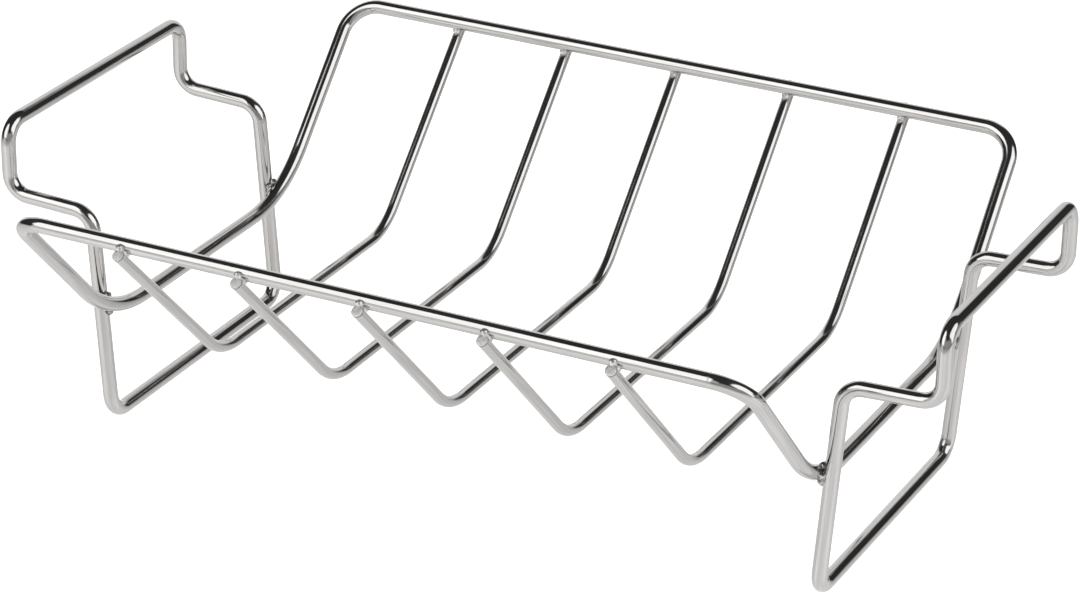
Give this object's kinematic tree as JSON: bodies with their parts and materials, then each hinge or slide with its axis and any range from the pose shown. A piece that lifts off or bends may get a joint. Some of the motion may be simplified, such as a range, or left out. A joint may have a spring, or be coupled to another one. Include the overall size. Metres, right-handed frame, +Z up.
{
  "type": "roasting rack",
  "caption": "Roasting rack of bent round bar: ribs slung under a closed cradle frame, carried by looped end frames that form the feet and the lifting handles.",
  "frame": {"origin": "on the floor under the middle of the rack, halfway between the two foot bars", "axes": "+X along the rails from the left handle to the right handle, +Y across the cradle from the front rail to the back rail, +Z up"},
  "size_m": [0.4242, 0.2894, 0.1297],
  "materials": {
    "bright_bar": "polished, mirror bright",
    "weld_metal": "bright plate over rough weld beads"
  },
  "bodies": {
    "root": {"cradle_frame": "bright_bar", "rib_1": "bright_bar", "rib_2": "bright_bar", "rib_3": "bright_bar", "rib_4": "bright_bar", "rib_5": "bright_bar", "left_end_frame": "bright_bar", "right_end_frame": "bright_bar", "front_rib_welds": "weld_metal", "back_rib_welds": "weld_metal", "left_frame_welds": "weld_metal", "right_frame_welds": "weld_metal"}
  },
  "joints": []
}
